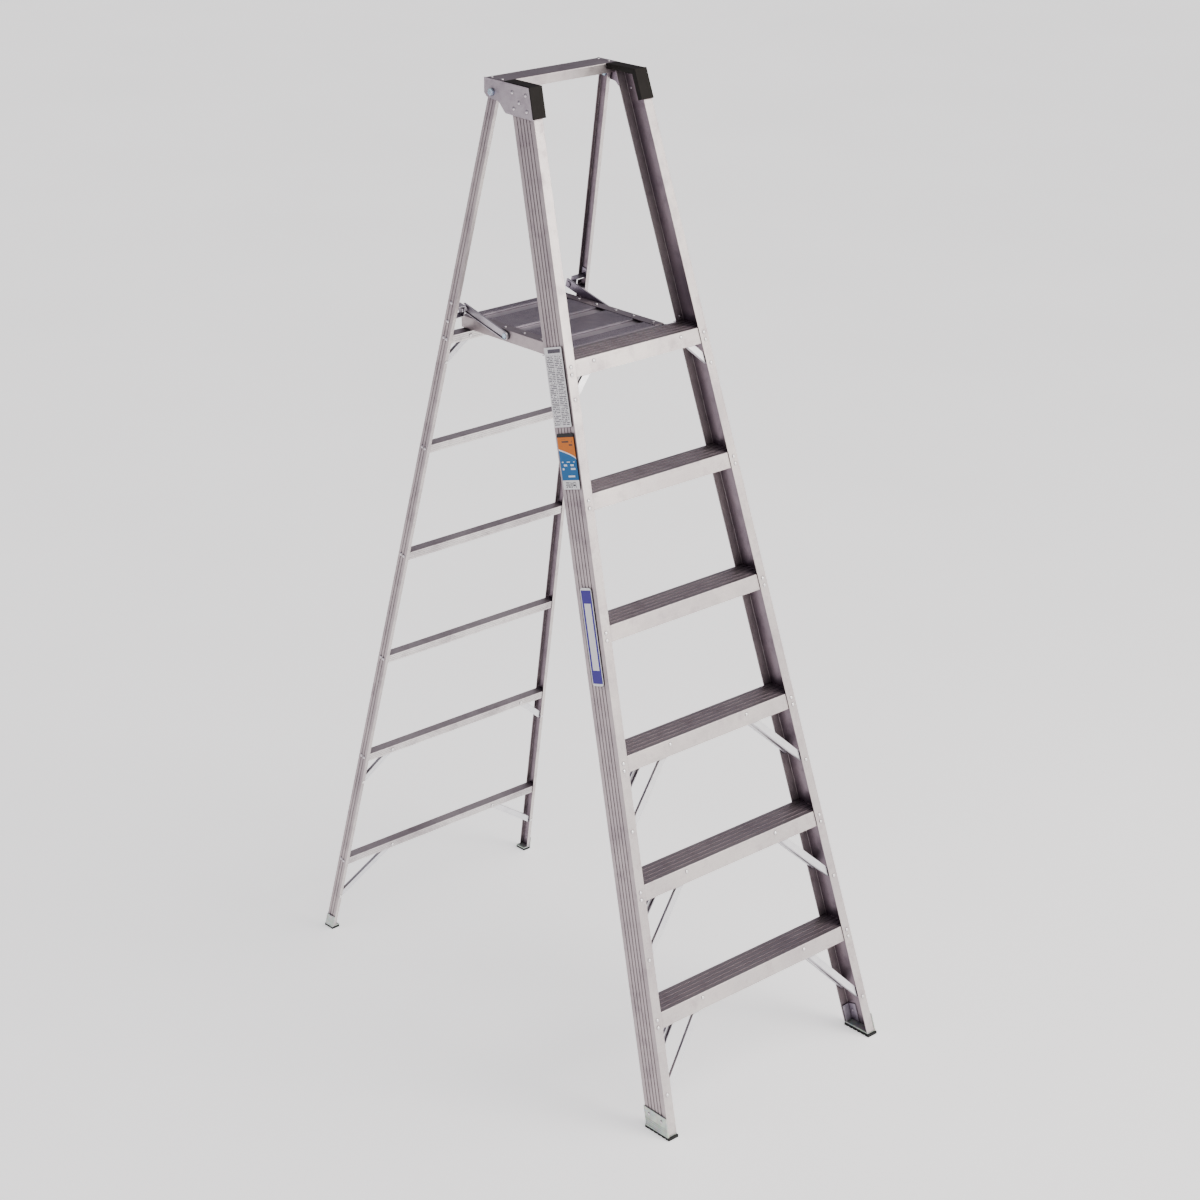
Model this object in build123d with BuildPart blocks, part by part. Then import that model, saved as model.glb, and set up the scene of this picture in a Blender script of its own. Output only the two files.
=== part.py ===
"""Platform step ladder with a folding platform and a hinged rear section.

Millimetres. +Z up, -Y towards the climber, +Y towards the rear section, +X to the climber's right.
The origin is on the floor, in the middle of the footprint.
The ladder stands open. The front section carries the steps; the rear section swings on the two
top pivots; the platform swings on the rear of the platform step and two links tie it to the rear.
"""
import os
from math import atan2, cos, degrees, hypot, radians, sin, tan
from build123d import *

os.makedirs("parts", exist_ok=True)

# ---- overall sizes -------------------------------------------------------------------------
spread = 1356.0                 # footprint from the front pads' front edge to the rear pads' rear edge
front_lean = 16.3               # front rails from the vertical, degrees
rail_length = 2438.0            # along a front rail, floor to top corner
front_half_width = 353.3        # outer face of a front rail's web, at the floor
front_taper = 4.19              # each front rail leans in, degrees
rear_taper = 4.21
deck_height = 1751.0            # top of the platform above the floor

# ---- front rails (channel, web outboard) ---------------------------------------------------
rail_depth = 73.0
rail_flange = 26.0
rail_web = 2.0
rail_flange_t = 2.2
rail_corner_r = 1.6             # inside corners; outside corners are 0.8 sharper
flute_count = 5
flute_pitch = 11.0
flute_w = 4.0
flute_d = 0.9

# ---- steps ---------------------------------------------------------------------------------
step_count = 5
step_pitch = 304.8              # along the rail
first_step = 286.0              # along the rail, floor to the lowest step's upper rivet
step_sheet = 1.8
edge_r = 1.8                    # folded edges of the top channel
apron_height = 38.0
apron_above_rivet = 13.0
rear_apron_height = 30.0
tread_rib_count = 4
tread_rib_w = 3.4
tread_rib_h = 1.2
step_end_gap = 2.0              # step end to the rail's web, past the inside corner
rivet_inset = 12.3              # flange rivets from the web's outer face
rivet_drop = 17.5               # between the two rivets of a step's end

# ---- knee braces ---------------------------------------------------------------------------
brace_sheet = 2.0
brace_width = 16.0
brace_depth = 8.0
brace_run = 162.0               # sideways, rail rivet to apron rivet
brace_rises = [181.0, 162.0, 162.0]   # along the rail, lowest step first
short_brace_run = 77.0          # under the platform step
short_brace_rise = 75.5
apron_rivet_drop = 11.5         # brace rivet in an apron, below the apron's top edge

# ---- rear section --------------------------------------------------------------------------
rear_depth = 30.0
rear_flange = 10.0
rear_web = 1.8
rear_flange_t = 1.6
rear_flute_pitch = 9.5
rear_flute_count = 2
rung_bottoms = [207.5, 537.5, 838.0, 1140.0, 1441.5, 1736.0]   # along the rail, lowest first
rung_face = 22.0
rung_flange = 20.0
rung_sheet = 1.8
rung_end_gap = 1.2              # past the rail's inside corner
rung_rib_h = 0.4
rung_rib_w = 1.6
rung_rivet_half = 5.5           # end rivets, either side of the rail's middle
rear_braces = [(0, 174.0, 11.0, 113.0), (1, 219.0, 11.0, 74.0), (5, 150.0, 11.0, 58.0)]
#               rung, sideways place of its rivet, height of it on the rung, drop to the rail rivet
rear_rivet_inset = 5.8

# ---- top -----------------------------------------------------------------------------------
pivot_v = 2446.0                # top pivot, along the front rail
pivot_n = 132.2                 # top pivot, behind the front rail's front face
pivot_r = 5.0
pivot_end = 15.0                # rear rail beyond the pivot
rear_rail_inset = 2.0           # rear rail's web inside the gusset plate, at the pivot
gusset_t = 3.0
gusset_setback = 0.5            # plate behind the rail's front face
gusset_rise = 29.5              # top of the ladder above the pivot
top_depth = 65.0                # top channel, front to rear
top_ahead = 36.4                # top channel's front face ahead of the pivot
top_drop = 23.0
top_sheet = 2.0
cover_t = 3.0
cover_width = 34.0
cover_leg = 72.0                # front leg, down the rail
cover_skirt = 10.0

# ---- platform and links ---------------------------------------------------------------------
hinge_n = rail_depth + 13.1      # platform hinge behind the front rail's front face
hinge_drop = 13.0               # below the deck's top
deck_front_gap = 6.0            # deck edge ahead of the hinge axis
deck_depth = 366.0
side_edge_r = 1.2
side_half_width = 157.0         # outer face of a side channel's web
side_height = 30.0
side_flange = 28.0
side_lower_flange = 14.0
side_sheet = 1.8
board_sheet = 2.0
board_width = 96.0
board_pitch = 132.5
board_first = 123.0             # first wide board's centre, behind the deck's front edge
front_board = 38.0
rear_board = 26.0
board_leg = 14.0
board_end_gap = 8.0             # board legs and strips to a side channel's web
board_rib_pitch = 6.0
board_rib_h = 1.2
board_rib_w = 3.0
strip_drop = 4.0                # strips below the boards
deck_end = 4.0                  # side channels beyond the last board
deck_rivet_x = 144.0
front_rivet_share = 0.58        # rivet on the front board, as a share of its width
deck_rivet_half = 31.5          # rivets either side of a wide board's centre
link_back = 197.0               # link's front pivot behind the platform hinge
link_drop = 14.0                # below the deck's top
link_rear_v = 1814.5            # link's rear pivot, along the rear rail
link_height = 21.0
link_sheet = 2.0
link_flange = 5.0
link_gap = 3.2                  # side channel's web to the link's web
link_pin_r = 4.0
hinge_pin_r = 4.5
hinge_ear_t = 3.0

# ---- feet ----------------------------------------------------------------------------------
pad_t = 7.0
boot_t = 3.0
boot_height = 44.0              # above the pad
pad_front_reach = 2.0           # front pad ahead of the rail's front face, at the floor
rear_pad_t = 6.0
shoe_t = 2.2
shoe_height = 32.0
rear_pad_reach = 1.0            # rear pad behind the rear rail, at the floor
pad_in_reach = 1.5              # front pad inboard of the flange tip

# ---- fasteners and clearances --------------------------------------------------------------
rivet_r = 2.4
rivet_head_r = 4.6
rivet_head_h = 2.2
rivet_tail_r = 3.6
rivet_tail_h = 1.6
rivet_crown = 0.62              # flat top of a head, as a share of its radius
hole_clear = 0.05               # around every rivet shank
bush_clear = 0.3                # bush around the main bolt
pin_clear = 0.05                # running fit of each pivot
web_clear = 0.1                 # fixed pieces inside the plane of a rail's web
body_gap = 0.4                  # between pieces that move past each other

# ---- frames of the two sections -------------------------------------------------------------
lean = radians(front_lean)
ft, rt = tan(radians(front_taper)), tan(radians(rear_taper))
y_front = -spread / 2 + pad_front_reach


def front_point(u, v, n):
    """u sideways, v up along the front section, n behind its front face."""
    return Vector(u, y_front + v * sin(lean) + n * cos(lean), v * cos(lean) - n * sin(lean))


pivot = front_point(0, pivot_v, pivot_n)
rear_lean = radians(12.8)
for _ in range(6):              # rear rail's centre line runs from the pivot to its foot
    rear_foot = spread / 2 - rear_pad_reach - rear_depth / 2 / cos(rear_lean)
    rear_lean = atan2(rear_foot - pivot.Y, pivot.Z)
y_rear = rear_foot - rear_depth / 2 / cos(rear_lean)


def rear_point(u, v, n):
    """u sideways, v up along the rear section, n behind its front face."""
    return Vector(u, y_rear - v * sin(rear_lean) + n * cos(rear_lean),
                  v * cos(rear_lean) + n * sin(rear_lean))


front_n = Vector(0, cos(lean), -sin(lean))
front_v = Vector(0, sin(lean), cos(lean))
rear_n = Vector(0, cos(rear_lean), sin(rear_lean))
rear_v = Vector(0, -sin(rear_lean), cos(rear_lean))
pivot_rear_v = (pivot - rear_point(0, 0, 0)).dot(rear_v)
half_width_at_pivot = front_half_width - pivot_v * ft - rear_rail_inset
rear_half_width = half_width_at_pivot + pivot_rear_v * rt
FRONT = Plane(origin=front_point(0, 0, 0), x_dir=(1, 0, 0), z_dir=-front_n)
REAR = Plane(origin=rear_point(0, 0, 0), x_dir=(1, 0, 0), z_dir=-rear_n)


def side_plane(point, along, across, taper):
    """Outer face of a right rail's web: local x across the rail, local y along it, z outwards."""
    outward = Vector(cos(taper), 0, 0) + along * sin(taper)
    return Plane(origin=point, x_dir=across, z_dir=outward)


front_taper_angle, rear_taper_angle = radians(front_taper), radians(rear_taper)
WEB = side_plane(front_point(front_half_width, 0, 0), front_v, front_n, front_taper_angle)
REAR_WEB = side_plane(rear_point(rear_half_width, 0, 0), rear_v, rear_n, rear_taper_angle)


def front_width(v):
    """Outer half width of the front section."""
    return front_half_width - v * ft


def rear_width(v):
    """Outer half width of the rear section."""
    return rear_half_width - v * rt


def front_yz(n, v):
    """A point of the front section as (y, z)."""
    point = front_point(0, v, n)
    return (point.Y, point.Z)


def rear_yz(n, v):
    """A point of the rear section as (y, z)."""
    point = rear_point(0, v, n)
    return (point.Y, point.Z)


def v_at(z, n):
    """Where a level z crosses depth n of the front section, along v."""
    return (z + n * sin(lean)) / cos(lean)


def place(plane, x, y, out=0.0):
    """A location on a plane, its z axis along the plane's normal."""
    return plane.offset(out).location * Location((x, y, 0))


def on_front(u, v, n=0.0):
    """Facing the climber, on the front section."""
    return place(FRONT, u, v, -n)


def on_back(u, v, n):
    """Facing away from the climber, on the front section."""
    return Plane(origin=front_point(u, v, n), x_dir=(-1, 0, 0), z_dir=front_n).location


def on_web(n, v, out=0.0):
    """Facing outwards, on a front rail's web."""
    return place(WEB, n, v / cos(front_taper_angle), out)


def on_rear_web(n, v, out=0.0):
    """Facing outwards, on a rear rail's web."""
    return place(REAR_WEB, n, v / cos(rear_taper_angle), out)


def from_pivot(y, z):
    """A point beside the top pivot as (n, v) of the front section."""
    return (pivot_n + y * cos(lean) - z * sin(lean), pivot_v + y * sin(lean) + z * cos(lean))


def save(part, name):
    """Name a finished piece and write it."""
    part.label = name
    export_step(part, f"parts/{name}.step")


def save_pair(part, name):
    """Write a right-hand piece and its left-hand twin."""
    twin = part.mirror(Plane.YZ)
    save(part, f"{name}_right")
    save(twin, f"{name}_left")


def drill(places, radius=rivet_r + hole_clear, reach=8.0):
    """Holes through the sheet at each place."""
    with Locations(*places):
        Cylinder(radius, 2 * reach, mode=Mode.SUBTRACT)


def rivet(grip):
    """Rivet with a crowned head, its head's seat at the origin and its set tail a grip below."""
    with BuildPart() as one:
        with BuildSketch(Plane.XZ):
            with BuildLine():
                tail = -grip - rivet_tail_h
                Polyline((0, rivet_head_h), (0, tail), (rivet_tail_r, tail), (rivet_tail_r, -grip),
                         (rivet_r, -grip), (rivet_r, 0), (rivet_head_r, 0),
                         (rivet_head_r * rivet_crown, rivet_head_h), close=True)
            make_face()
        revolve(axis=Axis.Z)
    return one.part


def rivet_set(rows):
    """Rivets on the right and their mirror images, as separate solids."""
    right = [rivet(grip).moved(spot) for spots, grip in rows for spot in spots]
    return Compound(right + [one.mirror(Plane.YZ) for one in right])


# ---- where the rivets go --------------------------------------------------------------------
step_rivets_v = [first_step + step_pitch * k for k in range(step_count + 1)]
step_tops_v = [v + apron_above_rivet for v in step_rivets_v]
step_levels = [front_yz(rail_flange_t, v)[1] for v in step_tops_v]
rise_across = (rail_depth - 2 * rail_flange_t) * tan(lean)     # v gained from front to back


def flange_u(v):
    """Middle line of a front rail's flange rivets."""
    return front_width(v) - rivet_inset


step_front_rivets = [on_front(flange_u(v), v)
                     for top in step_rivets_v for v in (top, top - rivet_drop)]
step_back_rivets = [on_back(flange_u(v), v, rail_depth)
                    for top in step_rivets_v for v in (top + rise_across, top + rise_across - rivet_drop)]

# ---- front rails ----------------------------------------------------------------------------
top_z = pivot.Z + gusset_rise
boot_top = pad_t + boot_t
gusset_holes = [(-72.6, 10), (-119.7, 10), (-98, -9.5), (-80.7, -25.2), (-126.7, -25.2)]
gusset_places = [on_web(*from_pivot(y, z), gusset_t) for y, z in gusset_holes]
boot_rivet_z = 38.0
boot_rivets_n = (16.0, 58.0)
boot_places = [on_web(n, v_at(boot_rivet_z, n), boot_t) for n in boot_rivets_n]


def brace_foot(k):
    """Rail rivet of step k's front brace."""
    v = step_tops_v[k] - apron_rivet_drop - brace_rises[k]
    return (flange_u(v), v)


def brace_top(k):
    """Apron rivet of step k's front brace."""
    return (brace_foot(k)[0] - brace_run, step_tops_v[k] - apron_rivet_drop)


platform_brace_top_v = step_tops_v[-1] - apron_rivet_drop
platform_brace_foot_v = platform_brace_top_v - short_brace_rise
platform_brace_foot = (flange_u(platform_brace_foot_v), platform_brace_foot_v)
platform_brace_top = (platform_brace_foot[0] - short_brace_run, platform_brace_top_v)
brace_ends = [(brace_top(k), brace_foot(k)) for k in range(len(brace_rises))]
brace_ends.append((platform_brace_top, platform_brace_foot))
foot_front = [on_front(u, v) for _, (u, v) in brace_ends]
foot_back = [on_back(u, v + rise_across, rail_depth) for _, (u, v) in brace_ends[:-1]]
rail_angle_v = 1853.0
rail_angle_place = on_back(flange_u(rail_angle_v), rail_angle_v, rail_depth + step_sheet)


def channel_profile(depth, flange, web, flange_t, corner_r, pitch, count):
    """Channel section, web along x at y = 0, flanges towards +y, grooves along the web."""
    with BuildSketch() as section:
        Rectangle(depth, flange, align=(Align.MIN, Align.MIN))
        fillet(section.vertices().group_by(Axis.Y)[0], corner_r - 0.8)
        with BuildSketch(mode=Mode.PRIVATE) as hollow:
            with Locations((flange_t, web)):
                Rectangle(depth - 2 * flange_t, flange, align=(Align.MIN, Align.MIN))
            fillet(hollow.vertices().group_by(Axis.Y)[0], corner_r)
        add(hollow.sketch, mode=Mode.SUBTRACT)
        fillet(section.vertices().group_by(Axis.Y)[-1], 0.5)
        first = depth / 2 - pitch * (count - 1) / 2
        with Locations(*[(first + pitch * k, 0) for k in range(count)]):
            Rectangle(flute_w, 2 * flute_d, mode=Mode.SUBTRACT)
    return section.sketch


rail_section = channel_profile(rail_depth, rail_flange, rail_web, rail_flange_t, rail_corner_r,
                               flute_pitch, flute_count)
FRONT_RAIL = Plane(origin=WEB.origin, x_dir=front_n, z_dir=WEB.y_dir)
with BuildPart() as front_rail:
    with BuildSketch(FRONT_RAIL.offset(-rail_depth)):
        add(rail_section)
    extrude(amount=rail_length + 3 * rail_depth)
    split(bisect_by=Plane.XY.offset(boot_top), keep=Keep.TOP)
    split(bisect_by=Plane.XY.offset(top_z - cover_t), keep=Keep.BOTTOM)
    drill(step_front_rivets + step_back_rivets + foot_front + foot_back + [rail_angle_place])
    drill(gusset_places + boot_places)
save_pair(front_rail.part, "front_rail")

# ---- steps ----------------------------------------------------------------------------------
STEP_END = WEB.offset(-rail_web - step_end_gap)


def step_body(k, apron_holes, rear_holes):
    """Tread with a front and a rear apron, seated inside the rails' flanges."""
    near, far = rail_flange_t, rail_depth - rail_flange_t
    top = step_tops_v[k]
    level = step_levels[k]
    bottom = top - apron_height
    with BuildPart() as step:
        with BuildSketch(Plane.YZ):
            with BuildLine():
                Polyline(
                    front_yz(near, top), front_yz(far, top + rise_across),
                    front_yz(far, top + rise_across - rear_apron_height),
                    front_yz(far - step_sheet, top + rise_across - rear_apron_height),
                    front_yz(far - step_sheet, v_at(level - step_sheet, far - step_sheet)),
                    front_yz(near + step_sheet, v_at(level - step_sheet, near + step_sheet)),
                    front_yz(near + step_sheet, bottom), front_yz(near, bottom), close=True)
            make_face()
        extrude(amount=front_half_width)
        with BuildSketch(Plane.YZ):
            front_y, back_y = front_yz(near, top)[0], front_yz(far, top + rise_across)[0]
            pitch = (back_y - front_y) / (tread_rib_count + 1)
            with Locations(*[(front_y + pitch * (i + 1), level) for i in range(tread_rib_count)]):
                Rectangle(tread_rib_w, 2 * tread_rib_h)
        extrude(amount=front_half_width)
        long_edges = [edge for edge in step.edges().filter_by(Axis.X)
                      if abs(edge.center().Z - level) < 0.01
                      and (abs(edge.center().Y - front_y) < 0.01
                           or abs(edge.center().Y - back_y) < 0.01)]
        fillet(long_edges, step_sheet * 0.9)
        split(bisect_by=STEP_END, keep=Keep.BOTTOM)
        upper = top - apron_above_rivet
        holes = [on_front(flange_u(v), v) for v in (upper, upper - rivet_drop)]
        holes += [on_back(flange_u(v), v, rail_depth)
                  for v in (upper + rise_across, upper + rise_across - rivet_drop)]
        drill(holes + apron_holes + rear_holes)
        mirror(about=Plane.YZ)
    return step.part


for k in range(step_count):
    fronts = [on_front(*brace_ends[k][0])] if k < len(brace_rises) else []
    backs = [on_back(u, v + rise_across, rail_depth) for u, v in [brace_ends[k][0]]] if fronts else []
    save(step_body(k, fronts, backs), f"step_{k + 1}")

hinge_v = v_at(deck_height - hinge_drop, hinge_n)
hinge_base_u = side_half_width + body_gap
hinge_base_w = 28.0
hinge_base_h = 26.0
hinge_base_drop = 8.0
apron_back_n = rail_depth - rail_flange_t
hinge_rivet_u = hinge_base_u + 18.0
hinge_places = [on_back(hinge_rivet_u, hinge_v + dv, apron_back_n + hinge_ear_t) for dv in (-15, -1)]
save(step_body(step_count, [on_front(*platform_brace_top)], hinge_places), "platform_step")

# ---- knee braces under the steps ------------------------------------------------------------


def brace(plane, top, foot, seat, pad, into, end):
    """Strip with turned edges: top end on an apron, foot end padded out to a rail's flange.

    seat is the plane offset of the apron's hidden face; into is -1 or +1 along the plane's normal;
    end is the plane beside the rail's web where the strip stops.
    """
    du, dv = top[0] - foot[0], top[1] - foot[1]
    length, angle = hypot(du, dv), degrees(atan2(dv, du))
    middle = Location(((top[0] + foot[0]) / 2, (top[1] + foot[1]) / 2, 0), (0, 0, angle))
    edge = (brace_width - brace_sheet) / 2
    with BuildPart() as strip:
        with BuildSketch(plane.offset(seat)):
            with Locations(middle):
                SlotCenterToCenter(length, brace_width)
        extrude(amount=into * brace_sheet)
        with BuildSketch(plane.offset(seat)):
            with Locations(middle * Location((0, edge, 0)), middle * Location((0, -edge, 0))):
                Rectangle(length - brace_width, brace_sheet)
        extrude(amount=into * brace_depth)
        with BuildSketch(plane.offset(seat)):
            with Locations((foot[0], foot[1])):
                Circle(brace_width / 2 - brace_sheet)
        extrude(amount=-into * pad)
        split(bisect_by=end, keep=Keep.BOTTOM)
        drill([place(plane, top[0], top[1], seat), place(plane, foot[0], foot[1], seat)])
    return strip.part


front_seat = -(rail_flange_t + step_sheet)
back_seat = -(rail_depth - rail_flange_t - step_sheet)
for k in range(len(brace_rises)):
    top, foot = brace_ends[k]
    raised = [(u, v + rise_across) for u, v in (top, foot)]
    strips = [brace(FRONT, top, foot, front_seat, step_sheet, -1, STEP_END),
              brace(FRONT, *raised, back_seat, step_sheet, 1, STEP_END)]
    strips += [one.mirror(Plane.YZ) for one in strips]
    save(Compound(strips), f"step_{k + 1}_braces")
strip = brace(FRONT, platform_brace_top, platform_brace_foot, front_seat, step_sheet, -1, STEP_END)
save(Compound([strip, strip.mirror(Plane.YZ)]), "platform_step_braces")

apron_fronts = [on_front(*top, rail_flange_t) for top, _ in brace_ends]
apron_backs = [on_back(top[0], top[1] + rise_across, apron_back_n) for top, _ in brace_ends[:-1]]
save(rivet_set([(step_front_rivets + step_back_rivets, rail_flange_t + step_sheet)]), "step_rivets")
save(rivet_set([(foot_front + foot_back, rail_flange_t + step_sheet + brace_sheet),
                (apron_fronts + apron_backs, step_sheet + brace_sheet)]), "brace_rivets")

# ---- top of the front section ---------------------------------------------------------------
gusset_outline = [(30.8, 29.5), (-134, 29.5), (-150, -42), (-51, -40), (-26, -17.5), (17, -13.5),
                  (28, -5)]
tab_width = 22.0
tab_half = 24.0
top_rivet_inset = 10.0
top_rivet_half = 18.5


def trim_to_rail(points):
    """Keep a gusset outline point behind the rail's front face."""
    flat = []
    for y, z in points:
        n, v = from_pivot(y, z)
        flat.append((max(n, gusset_setback), v / cos(front_taper_angle)))
    return flat


def level_at(z):
    """Inner face of a gusset at a level above the pivot, sideways from the middle."""
    return front_width(from_pivot(0, z)[1])


tab_top = gusset_rise - top_sheet
with BuildPart() as gusset:
    with BuildSketch(WEB) as plate:
        with BuildLine():
            Polyline(*trim_to_rail(gusset_outline), close=True)
        make_face()
        fillet(plate.vertices().sort_by_distance(Vector(*trim_to_rail([(17, -13.5)])[0]))[0], 10)
        fillet(plate.vertices().sort_by_distance(Vector(*trim_to_rail([(-26, -17.5)])[0]))[0], 12)
        fillet(plate.vertices().sort_by_distance(Vector(*trim_to_rail([(-51, -40)])[0]))[0], 12)
    extrude(amount=gusset_t)
    with BuildSketch(Plane.YZ.offset(level_at(gusset_rise) - tab_width)):
        with Locations((pivot.Y, pivot.Z + tab_top - top_sheet / 2)):
            Rectangle(2 * tab_half, top_sheet)
    extrude(amount=tab_width + gusset_t)
    split(bisect_by=WEB.offset(gusset_t), keep=Keep.BOTTOM)
    drill(gusset_places)
    top_places = [Location((level_at(gusset_rise) - top_rivet_inset, pivot.Y + dy, top_z))
                  for dy in (-top_rivet_half, top_rivet_half)]
    drill(top_places)
    drill([Plane(origin=(front_width(pivot_v), pivot.Y, pivot.Z), z_dir=(1, 0, 0)).location],
          pivot_r + hole_clear, 20)
save_pair(gusset.part, "gusset")

with BuildPart() as top_channel:
    with BuildSketch(Plane.YZ):
        front_y, back_y = pivot.Y - top_ahead, pivot.Y - top_ahead + top_depth
        with BuildLine():
            Polyline((front_y, top_z), (back_y, top_z), (back_y, top_z - top_drop),
                     (back_y - top_sheet, top_z - top_drop), (back_y - top_sheet, top_z - top_sheet),
                     (front_y + top_sheet, top_z - top_sheet), (front_y + top_sheet, top_z - top_drop),
                     (front_y, top_z - top_drop), close=True)
        make_face()
    extrude(amount=front_half_width)
    fillet(top_channel.edges().filter_by(Axis.X).group_by(Axis.Z)[-1], edge_r)
    split(bisect_by=WEB.offset(-web_clear), keep=Keep.BOTTOM)
    drill(top_places)
    mirror(about=Plane.YZ)
save(top_channel.part, "top_channel")

cover_level = top_z + 0.3
cover_under = cover_level - cover_t
cover_back = pivot.Y - top_ahead - body_gap
leg_foot = rail_length - cover_leg
with BuildPart() as corner_cover:
    with BuildSketch(Plane.YZ):
        with BuildLine():
            Polyline(front_yz(0, leg_foot), front_yz(0, v_at(cover_under, 0)),
                     (cover_back, cover_under), (cover_back, cover_under - cover_skirt),
                     front_yz(cover_skirt, v_at(cover_under - cover_skirt, cover_skirt)),
                     front_yz(cover_skirt, leg_foot), close=True)
        make_face()
    extrude(amount=front_half_width)
    split(bisect_by=WEB.offset(-cover_width + cover_t / 2), keep=Keep.BOTTOM)
    with BuildSketch(Plane.YZ):
        with BuildLine():
            Polyline(front_yz(0, v_at(cover_level, 0)), (cover_back, cover_level),
                     (cover_back, cover_under), front_yz(0, v_at(cover_under, 0)), close=True)
        make_face()
    extrude(amount=front_half_width)
    split(bisect_by=WEB.offset(-web_clear), keep=Keep.BOTTOM)
    with BuildSketch(Plane.YZ):
        with BuildLine():
            Polyline(front_yz(0, leg_foot), front_yz(-cover_t, leg_foot),
                     front_yz(-cover_t, v_at(cover_level, -cover_t)),
                     front_yz(0, v_at(cover_level, 0)), close=True)
        make_face()
    extrude(amount=front_half_width)
    split(bisect_by=WEB.offset(gusset_t), keep=Keep.BOTTOM)
    split(bisect_by=WEB.offset(-cover_width), keep=Keep.TOP)
save_pair(corner_cover.part, "corner_cover")

# ---- top pivots -----------------------------------------------------------------------------
washer_t = 1.3
washer_r = 9.0
bolt_head_r = 9.0
bolt_head_h = 5.5
nut_r = 8.0
nut_h = 6.0
bolt_past_nut = 2.0
pivot_x = front_width(pivot_v)
nut_face = pivot_x - rear_rail_inset - rear_web - body_gap - washer_r * rt
AT_PIVOT = Plane(origin=(0, pivot.Y, pivot.Z), x_dir=(0, 1, 0), z_dir=(1, 0, 0))
pivot_on_web = Location((pivot_n, pivot_v / cos(front_taper_angle), 0))
bolt_tail = nut_face - nut_h - bolt_past_nut

with BuildPart() as pivot_bolt:
    with BuildSketch(AT_PIVOT.offset(bolt_tail)):
        Circle(pivot_r)
    extrude(amount=pivot_x + gusset_t + 1 - bolt_tail)
    with BuildSketch(WEB.offset(gusset_t)):
        with Locations(pivot_on_web):
            RegularPolygon(bolt_head_r, 6)
    extrude(amount=bolt_head_h)
    with BuildSketch(AT_PIVOT.offset(nut_face)):
        RegularPolygon(nut_r, 6)
    extrude(amount=-nut_h)
with BuildPart() as pivot_washer:
    with BuildSketch(WEB):
        with Locations(pivot_on_web):
            Circle(washer_r)
            Circle(pivot_r + bush_clear, mode=Mode.SUBTRACT)
    extrude(amount=-washer_t)
bolts = [pivot_bolt.part, pivot_washer.part]
save(Compound(bolts + [one.mirror(Plane.YZ) for one in bolts]), "pivot_bolts")

# ---- platform hinge, on the platform step's rear apron ---------------------------------------
HINGE = Plane(origin=(0, *front_yz(hinge_n, hinge_v)), x_dir=front_n, z_dir=(1, 0, 0))
ear_r = 10.0
ear_drop = 3.0
with BuildPart() as hinge_bracket:
    with BuildSketch(HINGE.offset(hinge_base_u)):
        Circle(ear_r)
        with Locations(((apron_back_n - hinge_n) / 2, -ear_drop)):
            Rectangle(hinge_n - apron_back_n, 2 * ear_r)
        Circle(hinge_pin_r + hole_clear, mode=Mode.SUBTRACT)
    extrude(amount=hinge_ear_t)
    with BuildSketch(FRONT.offset(-apron_back_n)):
        with Locations((hinge_base_u + hinge_base_w / 2, hinge_v - hinge_base_drop)):
            Rectangle(hinge_base_w, hinge_base_h)
    extrude(amount=-hinge_ear_t)
    drill(hinge_places)
save_pair(hinge_bracket.part, "hinge_bracket")

pin_head_r = 7.0
pin_head_h = 2.6
side_inner = side_half_width - side_sheet
with BuildPart() as hinge_pin:
    with BuildSketch(HINGE.offset(side_inner - body_gap - pin_head_h)):
        Circle(pin_head_r)
    extrude(amount=pin_head_h)
    with BuildSketch(HINGE.offset(side_inner - body_gap)):
        Circle(hinge_pin_r)
    extrude(amount=side_sheet + 2 * body_gap + hinge_ear_t)
    with BuildSketch(HINGE.offset(hinge_base_u + hinge_ear_t)):
        Circle(hinge_pin_r + 2)
    extrude(amount=rivet_head_h)
save(Compound([hinge_pin.part, hinge_pin.part.mirror(Plane.YZ)]), "hinge_pins")

# ---- small angles behind the front rails, level with the platform step ------------------------
angle_width = 16.0
angle_height = 22.0
angle_reach = 14.0
with BuildPart() as rail_angle:
    with BuildSketch(FRONT.offset(-rail_depth)):
        with Locations((flange_u(rail_angle_v), rail_angle_v)):
            Rectangle(angle_width, angle_height)
    extrude(amount=-step_sheet)
    with BuildSketch(FRONT.offset(-rail_depth)):
        with Locations((flange_u(rail_angle_v), rail_angle_v - (angle_height - step_sheet) / 2)):
            Rectangle(angle_width, step_sheet)
    extrude(amount=-angle_reach)
    drill([rail_angle_place])
save(Compound([rail_angle.part, rail_angle.part.mirror(Plane.YZ)]), "rail_angles")

# ---- front feet -----------------------------------------------------------------------------
foot_bracket_n = 44.0
foot_bracket_v = (18.0, 76.0)
boot_ridges = (13.0, 18.0, 23.0)
boot_ridge_h = 0.8
boot_over = 1.0                 # boot beyond the rail, front and back
groove_count = 5
groove_w = 4.0
groove_d = 1.5
floor_front = -spread / 2
floor_back = front_yz(rail_depth + boot_over, v_at(boot_top, rail_depth))[0]


def on_web_outline(points):
    """(n, level z) points as sketch points of a front rail's web plane."""
    return [(n, v_at(z, n) / cos(front_taper_angle)) for n, z in points]


def sole(x0, x1, y0, y1, thickness):
    """Rubber pad with grooves across its sole."""
    with BuildPart() as pad:
        with BuildSketch():
            with Locations(((x0 + x1) / 2, (y0 + y1) / 2)):
                Rectangle(x1 - x0, y1 - y0)
        extrude(amount=thickness)
        step = (y1 - y0) / (groove_count + 1)
        with Locations(*[((x0 + x1) / 2, y0 + step * (i + 1), 0) for i in range(groove_count)]):
            Box(x1 - x0, min(groove_w, step / 2), 2 * groove_d, mode=Mode.SUBTRACT)
    return pad.part


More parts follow.
